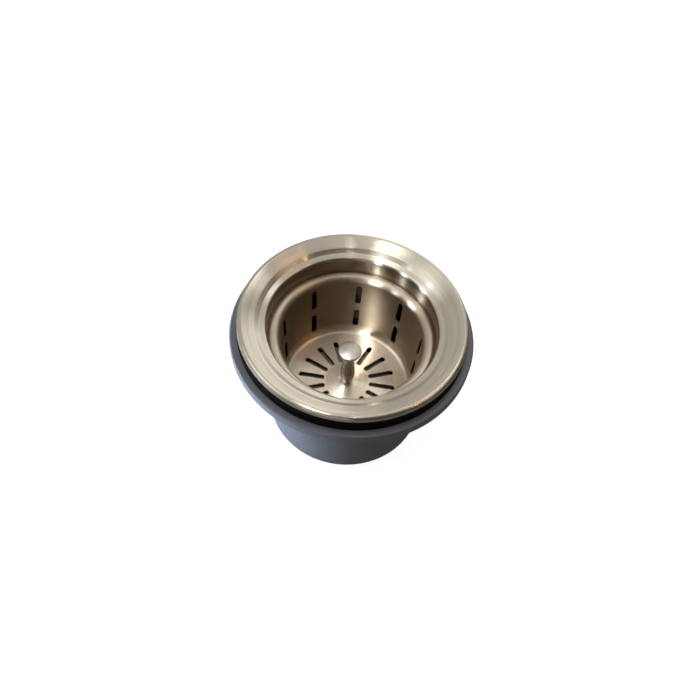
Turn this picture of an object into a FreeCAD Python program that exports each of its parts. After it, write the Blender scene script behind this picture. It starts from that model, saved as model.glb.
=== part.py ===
import FreeCAD, Part
import math
import os

# A kitchen sink basket strainer. A pressed steel flange and bowl hang in the sink's drain hole, a moulded
# cup is drawn up under the sink by one bolt through the bowl, and a lift-out basket with a stopper under
# its floor sits in the bowl. Everything is turned about Z; z = 0 is the end of the outlet spout.

# Driving dimensions, in millimetres

# Pressed steel flange and bowl
RING_W = 8.6
FLANGE_RISE = 3.7
FLANGE_SHEET = 0.8
FLANGE_EDGE_BEND = 2.0
STEP_W = 2.2
STEP_DROP = 1.6
LEDGE_W = 3.4
LEDGE_FALL = 1.0
THROAT_R = 42.3
THROAT_FLARE = 0.5
SEAT_DEPTH = 12.8
SEAT_W = 2.7
BOWL_TAPER = 1.2
BOWL_FOOT = 5.0
WELL_R = 20.0
WELL_DEPTH = 9.4
WELL_HOLES = 8
WELL_HOLE_R = 3.0
WELL_HOLE_CIRCLE_R = 14.6

# Rubber gaskets above and below the sink's deck
GASKET_PROUD = 0.2
GASKET_BORE_CLEARANCE = 1.4
UPPER_GASKET_T = 3.5
LOWER_GASKET_T = 3.5
GASKET_CHAMFER = 0.4
GASKET_EASE = 0.1

# Moulded cup
CUP_WALL = 2.5
CUP_FOOT_BEND = 3.0
CUP_THROAT_CLEARANCE = 0.9
CUP_BOWL_CLEARANCE = 0.8
WELL_CLEARANCE = 0.7
RIM_PROUD = 3.8
RIM_H = 5.0
RIM_PLATE = 2.6
RIM_SKIRT = 2.2
RIM_CHAMFER = 0.8

# Outlet spout, welded under the cup's floor, with the spider that carries the boss
SPOUT_LENGTH = 28.0
SPOUT_R = 23.9
SPOUT_WALL = 3.4
SPOUT_LEAD = 0.5
SPOUT_COLLAR_H = 5.2
THREAD_PITCH = 2.309
THREAD_DEPTH = 1.48
THREAD_CREST = 0.46
THREAD_VALLEY = 0.19
THREAD_START = 3.0
BOSS_R = 8.5
SPIDER_ARMS = 4
SPIDER_ARM_T = 2.4
SPIDER_H = 10.0

# Clamp bolt, its washers and the insert it screws into
BOLT_R = 4.0
BOLT_HEAD_R = 8.5
BOLT_HEAD_H = 2.4
BOLT_HEAD_CHAMFER = 0.8
BOLT_SLOT_W = 1.8
BOLT_SLOT_DEPTH = 1.3
BOLT_TIP_CHAMFER = 0.8
BOLT_HOLE_CLEARANCE = 0.4
BOLT_THREAD_CLEARANCE = 0.05
DECK_MAX = 10.0
BOLT_SEAL_R = 9.5
BOLT_SEAL_T = 1.2
BOLT_WASHER_R = 9.0
BOLT_WASHER_T = 0.8
INSERT_R = 6.0
INSERT_LENGTH = 12.0
INSERT_GROOVE_W = 2.0
INSERT_GROOVE_DEPTH = 0.6
INSERT_CLEARANCE = 0.03
INSERT_COVER = 1.5

# Lift-out basket
BASKET_SHEET = 0.7
BASKET_DEPTH = 43.95
BASKET_TAPER = 1.5
BASKET_GAP = 2.4
BASKET_FOOT_BEND = 2.8
LIP_CLEARANCE = 0.45
LIP_H = 1.5
LIP_OUTER_BEND = 1.3
LIP_INNER_BEND = 2.4
EMBOSS_R = 11.8
EMBOSS_TOP_R = 4.8
EMBOSS_H = 1.2
FLOOR_SLOTS = 16
FLOOR_SLOT_W = 2.8
FLOOR_SLOT_IN_R = 12.4
FLOOR_SLOT_OUT_R = 27.1
FLOOR_SLOT_TURN = 19.56
WALL_COLUMNS = 9
WALL_SLOT_W = 3.2
WALL_SLOT_LENGTH = 14.6
WALL_SLOT_TOP = 5.2
WALL_SLOT_PITCH = 19.5
WALL_SLOT_ROWS = 2
WALL_COLUMN_TURN = 8.0

# Lifting stem and knob
STEM_BASE_R = 3.2
STEM_BELLY_R = 4.0
STEM_BELLY_H = 7.0
STEM_NECK_R = 2.85
STEM_NECK_H = 7.0
STEM_H = 26.8
STEM_SPIGOT_R = 1.8
STEM_SPIGOT_H = 1.3
KNOB_R = 6.15
KNOB_H = 1.3
KNOB_DOME = 1.0
KNOB_EDGE = 0.4
KNOB_SOCKET_CLEARANCE = 0.03
KNOB_SOCKET_SPARE = 0.2

# Stopper under the basket's floor
DRAIN_GAP = 2.45
PLATE_R = 25.6
PLATE_T = 0.8
RUBBER_LIP_R = 29.0
RUBBER_LIP_T = 2.6
RUBBER_LIP_EDGE_T = 1.4
RUBBER_PLUG_DROP = 1.4
RUBBER_PLUG_CLEARANCE = 1.2
SEAL_CLEARANCE = 0.2
SPACER_R = 4.5
STOPPER_WASHER_R = 7.0
STOPPER_WASHER_T = 0.6
SCREW_R = 2.0
SCREW_HEAD_R = 3.8
SCREW_HEAD_H = 1.6
SCREW_HEAD_CHAMFER = 0.5
SCREW_SLOT_W = 1.0
SCREW_SLOT_DEPTH = 0.7
SCREW_ENGAGEMENT = 9.0
SCREW_CLEARANCE = 0.05
SCREW_HOLE_CLEARANCE = 0.2
SCREW_HOLE_SPARE = 1.0

# Heights, stacked from the spout's end up to the flange
z_cup_bottom = SPOUT_LENGTH
z_cup_floor = z_cup_bottom + CUP_WALL
z_well = z_cup_floor + WELL_CLEARANCE + FLANGE_SHEET
z_bowl_floor = z_well + WELL_DEPTH
z_rubber_lip = z_bowl_floor + SEAL_CLEARANCE
z_rubber_top = z_rubber_lip + RUBBER_LIP_T
z_plate_top = z_rubber_top + PLATE_T
z_floor = z_plate_top + DRAIN_GAP + BASKET_SHEET
z_emboss = z_floor + EMBOSS_H
z_lip_top = z_floor + BASKET_DEPTH
z_seat = z_lip_top - LIP_H
z_flange = z_seat + SEAT_DEPTH
z_gasket_joint = z_flange - UPPER_GASKET_T
z_rim_top = z_gasket_joint - LOWER_GASKET_T
z_stem_top = z_emboss + STEM_H
z_bolt_seat = z_well + BOLT_SEAL_T + BOLT_WASHER_T
z_insert_top = z_cup_floor - INSERT_COVER
z_insert_bottom = z_insert_top - INSERT_LENGTH
z_boss_bottom = z_insert_bottom - INSERT_COVER
z_plug = z_rubber_lip - RUBBER_PLUG_DROP
z_screw_seat = z_plug - STOPPER_WASHER_T

# Radii that follow from what sits in what
bowl_top_r = THROAT_R - SEAT_W
bowl_bottom_r = bowl_top_r - BOWL_TAPER
basket_wall_r = bowl_top_r - BASKET_GAP - BASKET_SHEET
basket_foot_r = basket_wall_r - BASKET_TAPER
lip_r = THROAT_R - LIP_CLEARANCE
throat_top_r = THROAT_R + THROAT_FLARE
ledge_r = throat_top_r + LEDGE_W
ring_in_r = ledge_r + STEP_W
flange_r = ring_in_r + RING_W
gasket_r = flange_r + GASKET_PROUD
gasket_bore_r = throat_top_r + FLANGE_SHEET + GASKET_BORE_CLEARANCE
rim_r = gasket_r + RIM_PROUD
cup_top_in_r = throat_top_r + FLANGE_SHEET + CUP_THROAT_CLEARANCE
cup_bottom_in_r = bowl_bottom_r + FLANGE_SHEET + CUP_BOWL_CLEARANCE
spout_bore_r = SPOUT_R - SPOUT_WALL
screw_hole_r = SCREW_R + SCREW_HOLE_CLEARANCE
bolt_hole_r = BOLT_R + BOLT_HOLE_CLEARANCE

CENTRE = FreeCAD.Vector(0, 0, 0)
UP = FreeCAD.Vector(0, 0, 1)


def point(r, z):
    """A point of a half section, at radius r and height z."""
    return FreeCAD.Vector(r, 0, z)


def direction(start, end):
    """Unit step of a section line from one (r, z, bend) point to the next."""
    length = math.hypot(end[0] - start[0], end[1] - start[1])
    return (end[0] - start[0]) / length, (end[1] - start[1]) / length


def offset_path(path, distance):
    """The line parallel to a path of (r, z, bend) points, on its left, with bends that stay concentric."""
    moved = []
    last = len(path) - 1
    for i, (r, z, bend) in enumerate(path):
        before = direction(path[max(i - 1, 0)], path[max(i, 1)])
        after = direction(path[min(i, last - 1)], path[min(i + 1, last)])
        turn = before[0] * after[1] - before[1] * after[0]
        half = 1 + before[0] * after[0] + before[1] * after[1]
        side = (-(before[1] + after[1]) / half, (before[0] + after[0]) / half)
        new_bend = bend - distance if turn > 0 else bend + distance
        moved.append((r + side[0] * distance, z + side[1] * distance, max(new_bend, 0) if bend else 0))
    return moved


def section(points):
    """A face bounded by (r, z, bend) points, with each corner rounded by its bend radius."""
    edges = []
    ends = []
    count = len(points)
    for i, (r, z, bend) in enumerate(points):
        corner = point(r, z)
        if not bend:
            ends.append((corner, corner))
            continue
        before = direction(points[i], points[i - 1])
        after = direction(points[i], points[(i + 1) % count])
        half_angle = math.acos(before[0] * after[0] + before[1] * after[1]) / 2
        reach = bend / math.tan(half_angle)
        start = corner + point(*before) * reach
        finish = corner + point(*after) * reach
        inward = (point(*before) + point(*after)).normalize()
        middle = corner + inward * (bend / math.sin(half_angle) - bend)
        ends.append((start, finish))
        edges.append(Part.Arc(start, middle, finish).toShape())
    for i in range(count):
        start = ends[i][1]
        finish = ends[(i + 1) % count][0]
        edges.append(Part.LineSegment(start, finish).toShape())
    return Part.Face(Part.Wire(Part.__sortEdges__(edges)))


def turned(points):
    """A solid of revolution from a closed half section."""
    return section(points).revolve(CENTRE, UP, 360)


def pressed(path, sheet):
    """A turned sheet-metal shell: the path is its upper face, and the sheet lies on the path's left."""
    return turned(path + offset_path(path, sheet)[::-1])


def washer(outer_r, bore_r, bottom, height):
    """A flat ring with square edges."""
    top = bottom + height
    return turned([(bore_r, bottom, 0), (outer_r, bottom, 0), (outer_r, top, 0), (bore_r, top, 0)])


def slot_face(start, finish, width):
    """A round-ended slot along X, from tip to tip, in the plane z = 0."""
    half = width / 2
    near = start + half
    far = finish - half
    corners = [(near, -half), (far, -half), (far, half), (near, half)]
    a, b, c, d = [FreeCAD.Vector(x, y, 0) for x, y in corners]
    edges = [
        Part.LineSegment(a, b).toShape(),
        Part.Arc(b, FreeCAD.Vector(finish, 0, 0), c).toShape(),
        Part.LineSegment(c, d).toShape(),
        Part.Arc(d, FreeCAD.Vector(start, 0, 0), a).toShape(),
    ]
    return Part.Face(Part.Wire(edges))


def around(tool, count, first=0):
    """Copies of a tool at equal steps about Z, the first one turned by the given angle."""
    copies = []
    for i in range(count):
        copy = tool.copy()
        copy.rotate(CENTRE, UP, first + i * 360 / count)
        copies.append(copy)
    return copies


def driver_slot(length, width, bottom, depth):
    """A straight screwdriver slot across the axis."""
    return Part.makeBox(length, width, depth, FreeCAD.Vector(-length / 2, -width / 2, bottom))


# Flange and bowl: the drawn sheet's upper face, from the flange's lower edge in to the bolt hole
z_ledge = z_flange - STEP_DROP
flange_path = [
    (flange_r, z_flange, 0),
    (flange_r, z_flange + FLANGE_RISE, FLANGE_EDGE_BEND),
    (ring_in_r, z_flange, 0),
    (ledge_r, z_ledge, 0),
    (throat_top_r, z_ledge - LEDGE_FALL, 0),
    (THROAT_R, z_seat, 0),
    (bowl_top_r, z_seat, 0),
    (bowl_bottom_r, z_bowl_floor + BOWL_FOOT, 0),
    (bowl_bottom_r - BOWL_FOOT, z_bowl_floor, 0),
    (WELL_R, z_bowl_floor, 0),
    (WELL_R, z_well, 0),
    (bolt_hole_r, z_well, 0),
]


def make_flange_bowl():
    shell = pressed(flange_path, FLANGE_SHEET)
    hole = Part.makeCylinder(WELL_HOLE_R, 3 * FLANGE_SHEET, point(WELL_HOLE_CIRCLE_R, z_well - 2 * FLANGE_SHEET))
    return shell.cut(around(hole, WELL_HOLES, 180 / WELL_HOLES))


# Upper gasket: a rubber ring that fills the underside of the flange down to the sink's deck
def make_upper_gasket():
    lip, step, ledge, throat = offset_path(flange_path, FLANGE_SHEET + GASKET_EASE)[1:5]
    fall = (ledge[1] - throat[1]) / (ledge[0] - throat[0])
    z_bore = ledge[1] - fall * (ledge[0] - gasket_bore_r)
    z_shoulder = z_flange - GASKET_EASE
    return turned([
        (gasket_bore_r, z_gasket_joint, 0),
        (gasket_r - GASKET_CHAMFER, z_gasket_joint, 0),
        (gasket_r, z_gasket_joint + GASKET_CHAMFER, 0),
        (gasket_r, z_shoulder, 0),
        (lip[0], z_shoulder, 0),
        lip,
        step,
        ledge,
        (gasket_bore_r, z_bore, 0),
    ])


# Lower gasket: a flat rubber ring on the cup's rim
def make_lower_gasket():
    return turned([
        (gasket_bore_r, z_rim_top, 0),
        (gasket_r, z_rim_top, 0),
        (gasket_r, z_gasket_joint - GASKET_CHAMFER, 0),
        (gasket_r - GASKET_CHAMFER, z_gasket_joint, 0),
        (gasket_bore_r, z_gasket_joint, 0),
    ])


# Cup: rim with a turned-down skirt, tapered wall, and a floor with the hole over the spout
def make_drain_cup():
    z_rim_under = z_rim_top - RIM_PLATE
    z_skirt = z_rim_top - RIM_H
    skirt_in_r = rim_r - RIM_SKIRT
    return turned([
        (spout_bore_r, z_cup_bottom, 0),
        (cup_bottom_in_r + CUP_WALL, z_cup_bottom, CUP_FOOT_BEND),
        (cup_top_in_r + CUP_WALL, z_rim_under, 0),
        (skirt_in_r, z_rim_under, 0),
        (skirt_in_r, z_skirt, 0),
        (rim_r, z_skirt, 0),
        (rim_r, z_rim_top - RIM_CHAMFER, 0),
        (rim_r - RIM_CHAMFER, z_rim_top, 0),
        (cup_top_in_r, z_rim_top, 0),
        (cup_bottom_in_r, z_cup_floor, 0),
        (spout_bore_r, z_cup_floor, 0),
    ])


# Outlet spout: a tube with its pipe thread as closed ridges, and a boss that four spider arms hold in it
def make_outlet_spout():
    root_r = SPOUT_R - THREAD_DEPTH
    z_collar = z_cup_bottom - SPOUT_COLLAR_H
    foot = THREAD_PITCH - THREAD_VALLEY
    ridges = int((z_collar - THREAD_START - foot / 2) / THREAD_PITCH) + 1
    outline = [(spout_bore_r, 0, 0), (root_r - SPOUT_LEAD, 0, 0), (root_r, SPOUT_LEAD, 0)]
    for i in range(ridges):
        z_ridge = THREAD_START + i * THREAD_PITCH
        outline += [
            (root_r, z_ridge - foot / 2, 0),
            (SPOUT_R, z_ridge - THREAD_CREST / 2, 0),
            (SPOUT_R, z_ridge + THREAD_CREST / 2, 0),
            (root_r, z_ridge + foot / 2, 0),
        ]
    outline += [
        (root_r, z_collar, 0),
        (SPOUT_R, z_collar, 0),
        (SPOUT_R, z_cup_bottom, 0),
        (spout_bore_r, z_cup_bottom, 0),
    ]
    tube = turned(outline)
    arm = Part.makeBox((spout_bore_r + root_r) / 2, SPIDER_ARM_T, SPIDER_H,
                       FreeCAD.Vector(0, -SPIDER_ARM_T / 2, z_cup_bottom - SPIDER_H))
    boss = Part.makeCylinder(BOSS_R, z_cup_floor - z_boss_bottom, point(0, z_boss_bottom))
    spout = tube.fuse([boss] + around(arm, SPIDER_ARMS, 180 / SPIDER_ARMS)).removeSplitter()
    pocket = insert_outline(INSERT_R + INSERT_CLEARANCE, 0, INSERT_CLEARANCE)
    bolt_way = Part.makeCylinder(bolt_hole_r, z_cup_floor - z_boss_bottom, point(0, z_boss_bottom))
    return spout.cut([pocket, bolt_way])


# Thread insert: a brass sleeve moulded into the boss, held by the groove round its middle
def insert_outline(outer_r, bore_r, ease):
    z_low = z_insert_bottom - ease
    z_high = z_insert_top + ease
    z_middle = (z_low + z_high) / 2
    groove_half = INSERT_GROOVE_W / 2 - ease
    groove_r = outer_r - INSERT_GROOVE_DEPTH
    return turned([
        (bore_r, z_low, 0),
        (outer_r, z_low, 0),
        (outer_r, z_middle - groove_half, 0),
        (groove_r, z_middle - groove_half, 0),
        (groove_r, z_middle + groove_half, 0),
        (outer_r, z_middle + groove_half, 0),
        (outer_r, z_high, 0),
        (bore_r, z_high, 0),
    ])


def make_thread_insert():
    return insert_outline(INSERT_R, BOLT_R + BOLT_THREAD_CLEARANCE, 0)


# Clamp bolt: a wide slotted head in the well, and a shank that still fills the insert on the thickest deck
def make_clamp_bolt():
    z_tip = z_insert_bottom - DECK_MAX
    z_head_top = z_bolt_seat + BOLT_HEAD_H
    bolt = turned([
        (0, z_tip, 0),
        (BOLT_R - BOLT_TIP_CHAMFER, z_tip, 0),
        (BOLT_R, z_tip + BOLT_TIP_CHAMFER, 0),
        (BOLT_R, z_bolt_seat, 0),
        (BOLT_HEAD_R, z_bolt_seat, 0),
        (BOLT_HEAD_R, z_head_top - BOLT_HEAD_CHAMFER, 0),
        (BOLT_HEAD_R - BOLT_HEAD_CHAMFER, z_head_top, 0),
        (0, z_head_top, 0),
    ])
    return bolt.cut(driver_slot(2 * BOLT_HEAD_R, BOLT_SLOT_W, z_head_top - BOLT_SLOT_DEPTH, BOLT_SLOT_DEPTH))


def make_bolt_seal():
    return washer(BOLT_SEAL_R, bolt_hole_r, z_well, BOLT_SEAL_T)


def make_bolt_washer():
    return washer(BOLT_WASHER_R, bolt_hole_r, z_well + BOLT_SEAL_T, BOLT_WASHER_T)


# Basket: one drawn sheet with a rolled lip, a slotted wall, a slotted floor and a low cone in its middle
def make_strainer_basket():
    path = [
        (lip_r, z_seat, 0),
        (lip_r, z_lip_top, LIP_OUTER_BEND),
        (basket_wall_r, z_lip_top, LIP_INNER_BEND),
        (basket_foot_r, z_floor, BASKET_FOOT_BEND),
        (EMBOSS_R, z_floor, 0),
        (EMBOSS_TOP_R, z_emboss, 0),
        (screw_hole_r, z_emboss, 0),
    ]
    shell = pressed(path, BASKET_SHEET)
    floor_slot = slot_face(FLOOR_SLOT_IN_R, FLOOR_SLOT_OUT_R, FLOOR_SLOT_W).extrude(UP * 3 * BASKET_SHEET)
    floor_slot.translate(UP * (z_floor - 2 * BASKET_SHEET))
    tools = around(floor_slot, FLOOR_SLOTS, FLOOR_SLOT_TURN)
    reach = lip_r - basket_foot_r
    wall_slot = slot_face(0, WALL_SLOT_LENGTH, WALL_SLOT_W).extrude(UP * 2 * reach)
    wall_slot.rotate(CENTRE, FreeCAD.Vector(0, 1, 0), 90)
    for row in range(WALL_SLOT_ROWS):
        tool = wall_slot.copy()
        tool.translate(point(basket_foot_r - reach, z_lip_top - WALL_SLOT_TOP - row * WALL_SLOT_PITCH))
        tools += around(tool, WALL_COLUMNS, WALL_COLUMN_TURN)
    return shell.cut(tools)


# Stem: a turned baluster on the cone's flat top, with a spigot for the knob and a tapped hole underneath
def make_lift_stem():
    z_belly = z_emboss + STEM_BELLY_H
    z_neck = z_stem_top - STEM_NECK_H
    side = Part.BSplineCurve()
    side.interpolate([
        point(STEM_BASE_R, z_emboss),
        point(STEM_BELLY_R, z_belly),
        point((STEM_BELLY_R + STEM_NECK_R) / 2, (z_belly + z_neck) / 2),
        point(STEM_NECK_R, z_neck),
    ])
    rest = Part.makePolygon([
        point(STEM_NECK_R, z_neck),
        point(STEM_NECK_R, z_stem_top),
        point(STEM_SPIGOT_R, z_stem_top),
        point(STEM_SPIGOT_R, z_stem_top + STEM_SPIGOT_H),
        point(0, z_stem_top + STEM_SPIGOT_H),
        point(0, z_emboss),
        point(STEM_BASE_R, z_emboss),
    ])
    stem = Part.Face(Part.Wire([side.toShape()] + rest.Edges)).revolve(CENTRE, UP, 360)
    hole_depth = SCREW_ENGAGEMENT + SCREW_HOLE_SPARE
    return stem.cut(Part.makeCylinder(SCREW_R + SCREW_CLEARANCE, hole_depth, point(0, z_emboss)))


# Knob: a low domed cap, pressed on the stem's spigot
def make_knob_cap():
    z_rim = z_stem_top + KNOB_H
    z_crown = z_rim + KNOB_DOME
    crown_r = KNOB_R - KNOB_EDGE
    dome_mid = point(crown_r / 2, z_rim + KNOB_DOME * 3 / 4)
    dome = Part.Arc(point(0, z_crown), dome_mid, point(crown_r, z_rim)).toShape()
    rest = Part.makePolygon([
        point(crown_r, z_rim),
        point(KNOB_R, z_rim - KNOB_EDGE),
        point(KNOB_R, z_stem_top + KNOB_EDGE),
        point(crown_r, z_stem_top),
        point(0, z_stem_top),
        point(0, z_crown),
    ])
    knob = Part.Face(Part.Wire([dome] + rest.Edges)).revolve(CENTRE, UP, 360)
    socket_r = STEM_SPIGOT_R + KNOB_SOCKET_CLEARANCE
    return knob.cut(Part.makeCylinder(socket_r, STEM_SPIGOT_H + KNOB_SOCKET_SPARE, point(0, z_stem_top)))


# Stopper: spacer, backing plate, rubber plug and washer, clamped under the floor by one screw
def make_stopper_spacer():
    return washer(SPACER_R, screw_hole_r, z_plate_top, z_emboss - BASKET_SHEET - z_plate_top)


def make_stopper_plate():
    return washer(PLATE_R, screw_hole_r, z_rubber_top, PLATE_T)


def make_stopper_rubber():
    plug_r = WELL_R - RUBBER_PLUG_CLEARANCE
    return turned([
        (screw_hole_r, z_plug, 0),
        (plug_r - RUBBER_PLUG_DROP, z_plug, 0),
        (plug_r, z_rubber_lip, 0),
        (RUBBER_LIP_R, z_rubber_lip, 0),
        (RUBBER_LIP_R, z_rubber_lip + RUBBER_LIP_EDGE_T, 0),
        (PLATE_R, z_rubber_top, 0),
        (screw_hole_r, z_rubber_top, 0),
    ])


def make_stopper_washer():
    return washer(STOPPER_WASHER_R, screw_hole_r, z_screw_seat, STOPPER_WASHER_T)


def make_stopper_screw():
    z_head = z_screw_seat - SCREW_HEAD_H
    z_tip = z_emboss + SCREW_ENGAGEMENT
    screw = turned([
        (0, z_head, 0),
        (SCREW_HEAD_R - SCREW_HEAD_CHAMFER, z_head, 0),
        (SCREW_HEAD_R, z_head + SCREW_HEAD_CHAMFER, 0),
        (SCREW_HEAD_R, z_screw_seat, 0),
        (SCREW_R, z_screw_seat, 0),
        (SCREW_R, z_tip, 0),
        (0, z_tip, 0),
    ])
    return screw.cut(driver_slot(2 * SCREW_HEAD_R, SCREW_SLOT_W, z_head, SCREW_SLOT_DEPTH))


pieces = {
    "drain_cup": make_drain_cup(),
    "outlet_spout": make_outlet_spout(),
    "thread_insert": make_thread_insert(),
    "lower_gasket": make_lower_gasket(),
    "flange_bowl": make_flange_bowl(),
    "upper_gasket": make_upper_gasket(),
    "bolt_seal": make_bolt_seal(),
    "bolt_washer": make_bolt_washer(),
    "clamp_bolt": make_clamp_bolt(),
    "strainer_basket": make_strainer_basket(),
    "lift_stem": make_lift_stem(),
    "knob_cap": make_knob_cap(),
    "stopper_spacer": make_stopper_spacer(),
    "stopper_plate": make_stopper_plate(),
    "stopper_rubber": make_stopper_rubber(),
    "stopper_washer": make_stopper_washer(),
    "stopper_screw": make_stopper_screw(),
}

os.makedirs("parts", exist_ok=True)
for name, solid in pieces.items():
    solid.exportStep("parts/" + name + ".step")
    print(name, solid.isValid(), len(solid.Solids), round(solid.Volume, 1))
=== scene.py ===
import bpy
import math
from mathutils import Matrix, Vector


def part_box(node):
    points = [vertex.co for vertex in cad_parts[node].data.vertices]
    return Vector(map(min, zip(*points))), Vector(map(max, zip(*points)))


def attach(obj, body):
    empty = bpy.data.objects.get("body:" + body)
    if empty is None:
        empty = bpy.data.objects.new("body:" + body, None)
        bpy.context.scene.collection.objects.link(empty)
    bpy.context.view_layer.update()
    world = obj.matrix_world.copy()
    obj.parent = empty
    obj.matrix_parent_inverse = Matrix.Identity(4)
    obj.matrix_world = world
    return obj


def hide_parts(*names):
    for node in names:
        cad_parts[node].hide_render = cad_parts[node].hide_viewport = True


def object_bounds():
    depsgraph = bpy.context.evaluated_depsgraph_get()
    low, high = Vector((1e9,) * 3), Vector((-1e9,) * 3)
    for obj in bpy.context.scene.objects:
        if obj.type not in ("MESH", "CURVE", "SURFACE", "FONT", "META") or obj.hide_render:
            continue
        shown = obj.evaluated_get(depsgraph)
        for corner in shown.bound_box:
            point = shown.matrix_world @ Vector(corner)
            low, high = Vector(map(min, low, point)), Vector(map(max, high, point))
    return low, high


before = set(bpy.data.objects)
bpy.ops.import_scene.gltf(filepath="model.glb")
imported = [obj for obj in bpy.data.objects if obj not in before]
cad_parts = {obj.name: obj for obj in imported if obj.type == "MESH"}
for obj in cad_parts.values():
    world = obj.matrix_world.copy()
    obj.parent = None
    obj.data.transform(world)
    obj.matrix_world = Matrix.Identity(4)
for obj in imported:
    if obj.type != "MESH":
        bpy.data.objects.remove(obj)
cad_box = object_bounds()


# Drain cup: the blue-grey plastic moulding that hangs under the sink and carries the rest.
# It is injection moulded, with a rim that has a turned-down skirt, a tapered wall, and a floor
# with a hole over the outlet spout.
CUP_WALL = 0.0025
CUP_FOOT_BEND = 0.0030
CUP_CORNER_BEND = 0.0015
RIM_PLATE = 0.0026
RIM_H = 0.0050
RIM_SKIRT = 0.0022
RIM_EDGE_BEND = 0.0010
MOULD_EDGE = 0.0004
CUP_TOP_IN_R = 0.0445
CUP_FOOT_IN_R = 0.0400
SPOUT_BORE_R = 0.0205
CUP_GREY = (0.146, 0.156, 0.200, 1)
CUP_GREY_DEEP = (0.122, 0.130, 0.168, 1)
ARC_STEP = math.radians(11)
TURN_STEPS = 192
SMOOTH_ANGLE = math.radians(38)
MERGE_DISTANCE = 0.000002
PLASTIC_SPECULAR = 0.5


def heading(start, end):
    """Unit step from one outline corner towards another."""
    length = math.hypot(end[0] - start[0], end[1] - start[1])
    return (end[0] - start[0]) / length, (end[1] - start[1]) / length


def rounded(corners):
    """Points of a half outline: each (radius, height, bend) corner is turned by an arc of its bend."""
    outline = []
    for i, (r, z, bend) in enumerate(corners):
        if not bend:
            outline.append((r, z))
            continue
        before = heading(corners[i], corners[i - 1])
        after = heading(corners[i], corners[(i + 1) % len(corners)])
        half_angle = math.acos(before[0] * after[0] + before[1] * after[1]) / 2
        reach = bend / math.tan(half_angle)
        middle = heading((0, 0), (before[0] + after[0], before[1] + after[1]))
        away = bend / math.sin(half_angle)
        centre = (r + middle[0] * away, z + middle[1] * away)
        start = math.atan2(z + before[1] * reach - centre[1], r + before[0] * reach - centre[0])
        finish = math.atan2(z + after[1] * reach - centre[1], r + after[0] * reach - centre[0])
        sweep = (finish - start + math.pi) % math.tau - math.pi
        steps = max(2, math.ceil(abs(sweep) / ARC_STEP))
        for k in range(steps + 1):
            angle = start + sweep * k / steps
            outline.append((centre[0] + bend * math.cos(angle), centre[1] + bend * math.sin(angle)))
    return outline


def trace(name, outline, closed):
    """One vertex, extruded from point to point of a half outline in the X-Z plane. Leaves edit mode on."""
    bpy.ops.object.select_all(action="DESELECT")
    bpy.ops.mesh.primitive_circle_add(vertices=3, radius=0.001, location=(outline[0][0], 0, outline[0][1]))
    piece = bpy.context.object
    piece.name = name
    piece.data.name = name
    bpy.ops.object.transform_apply(location=True, rotation=False, scale=False)
    bpy.ops.object.mode_set(mode="EDIT")
    bpy.ops.mesh.select_all(action="SELECT")
    bpy.ops.mesh.merge(type="CENTER")
    ends = outline[1:] + outline[:1] if closed else outline[1:]
    for start, end in zip(outline, ends):
        step = (end[0] - start[0], 0, end[1] - start[1])
        bpy.ops.mesh.extrude_vertices_move(TRANSFORM_OT_translate={"value": step})
    return piece


def close_up(piece):
    """Merges a mesh's doubles, drops loose edges, turns its faces outwards and smooths it. Ends edit mode."""
    bpy.ops.mesh.select_all(action="SELECT")
    bpy.ops.mesh.remove_doubles(threshold=MERGE_DISTANCE)
    bpy.ops.mesh.delete_loose()
    bpy.ops.mesh.select_all(action="SELECT")
    bpy.ops.mesh.normals_make_consistent(inside=False)
    bpy.ops.object.mode_set(mode="OBJECT")
    bpy.ops.object.shade_smooth_by_angle(angle=SMOOTH_ANGLE)
    return piece


def turned(name, outline, steps=TURN_STEPS):
    """A half outline spun about Z. An outline that starts and ends on the axis isn't closed along it."""
    piece = trace(name, outline, closed=outline[0][0] > 0 or outline[-1][0] > 0)
    bpy.ops.mesh.select_all(action="SELECT")
    bpy.ops.mesh.spin(steps=steps, angle=math.tau, center=(0, 0, 0), axis=(0, 0, 1))
    return close_up(piece)


def new_finish(name):
    """A new procedural material, with its node tree and its shader."""
    finish = bpy.data.materials.new(name)
    finish.use_nodes = True
    return finish, finish.node_tree, finish.node_tree.nodes["Principled BSDF"]


def put(tree, kind, values=None, **settings):
    """A node with its settings and the values of its unlinked sockets."""
    node = tree.nodes.new(kind)
    for setting, value in settings.items():
        setattr(node, setting, value)
    for socket, value in (values or {}).items():
        node.inputs[socket].default_value = value
    return node


def speckle(tree, scale, detail):
    """Noise on Object coordinates; scale is in cells a metre."""
    place = put(tree, "ShaderNodeTexCoord")
    noise = put(tree, "ShaderNodeTexNoise", {"Scale": scale, "Detail": detail})
    tree.links.new(place.outputs["Object"], noise.inputs["Vector"])
    return noise.outputs["Fac"]


def spread(tree, value, low, high, start=0.3, finish=0.7):
    """A noise value brought from its usual band to a range of roughness or of another number."""
    bands = {"From Min": start, "From Max": finish, "To Min": low, "To Max": high}
    node = put(tree, "ShaderNodeMapRange", bands)
    tree.links.new(value, node.inputs["Value"])
    return node.outputs["Result"]


def two_tone(tree, value, first, second, start=0.35, finish=0.65):
    """A colour that runs from one tone to another with a noise value."""
    ramp = put(tree, "ShaderNodeValToRGB")
    ramp.color_ramp.elements[0].position = start
    ramp.color_ramp.elements[0].color = first
    ramp.color_ramp.elements[1].position = finish
    ramp.color_ramp.elements[1].color = second
    tree.links.new(value, ramp.inputs["Fac"])
    return ramp.outputs["Color"]


def relief(tree, shader, height, strength, depth):
    """A height value as bump on the shader's normal."""
    bump = put(tree, "ShaderNodeBump", {"Strength": strength, "Distance": depth})
    tree.links.new(height, bump.inputs["Height"])
    tree.links.new(bump.outputs["Normal"], shader.inputs["Normal"])


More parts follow.
